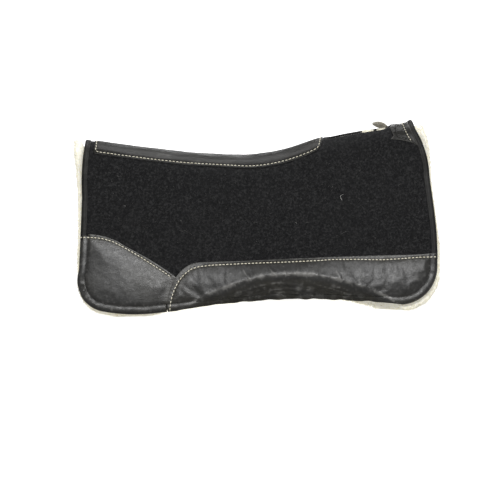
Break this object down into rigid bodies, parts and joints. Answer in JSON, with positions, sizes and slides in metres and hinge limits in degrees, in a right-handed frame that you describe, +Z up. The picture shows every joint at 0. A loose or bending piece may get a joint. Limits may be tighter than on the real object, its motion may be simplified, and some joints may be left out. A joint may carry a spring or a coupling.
{
  "type": "saddle pad",
  "caption": "Contoured western saddle pad: black felt over cream fleece, with spine, wither and wear leathers, bound edges and an open wither vent, draped over its crest.",
  "frame": {"origin": "on the floor under the crest, half way along the leather-bound length, in the plane of symmetry", "axes": "+X along the crest towards the withers (front), +Y towards the horse's left side, +Z up"},
  "size_m": [0.7991, 0.2704, 0.4004],
  "materials": {
    "black_felt": "matt wool felt",
    "cushion_core": "matt grey felt",
    "cream_fleece": "soft curly fleece",
    "wear_leather": "oiled, satin",
    "spine_leather": "oiled, satin",
    "binding_leather": "soft, satin",
    "pale_thread": "waxed thread",
    "dark_thread": "waxed thread"
  },
  "bodies": {
    "crest": {"spine_leather": "spine_leather", "wither_bridge_leather": "spine_leather", "crest_felt_left": "black_felt", "crest_felt_right": "black_felt", "crest_core_left": "cushion_core", "crest_core_right": "cushion_core", "crest_fleece_left": "cream_fleece", "crest_fleece_right": "cream_fleece", "rear_binding_crest": "binding_leather", "front_binding_crest": "binding_leather", "spine_leather_stitching": "pale_thread", "wither_bridge_stitching": "pale_thread", "vent_stitching": "pale_thread"},
    "flap_right": {"felt_right": "black_felt", "core_right": "cushion_core", "fleece_right": "cream_fleece", "front_wear_leather_right": "wear_leather", "rear_wear_leather_right": "wear_leather", "front_binding_right": "binding_leather", "rear_binding_right": "binding_leather", "front_wear_stitching_right": "pale_thread", "rear_wear_stitching_right": "pale_thread", "binding_stitching_right": "dark_thread", "hem_stitching_right": "dark_thread"},
    "flap_left": {"felt_left": "black_felt", "core_left": "cushion_core", "fleece_left": "cream_fleece", "front_wear_leather_left": "wear_leather", "rear_wear_leather_left": "wear_leather", "front_binding_left": "binding_leather", "rear_binding_left": "binding_leather", "front_wear_stitching_left": "pale_thread", "rear_wear_stitching_left": "pale_thread", "binding_stitching_left": "dark_thread", "hem_stitching_left": "dark_thread"}
  },
  "joints": [
    {"name": "flex_right", "type": "hinge", "parent": "crest", "child": "flap_right", "pos_m": [0, -0.0609, 0.28878], "axis": [-1, 0, 0], "range_deg": [-7, 35]},
    {"name": "flex_left", "type": "hinge", "parent": "crest", "child": "flap_left", "pos_m": [0, 0.0609, 0.28878], "axis": [1, 0, 0], "range_deg": [-7, 35]}
  ]
}
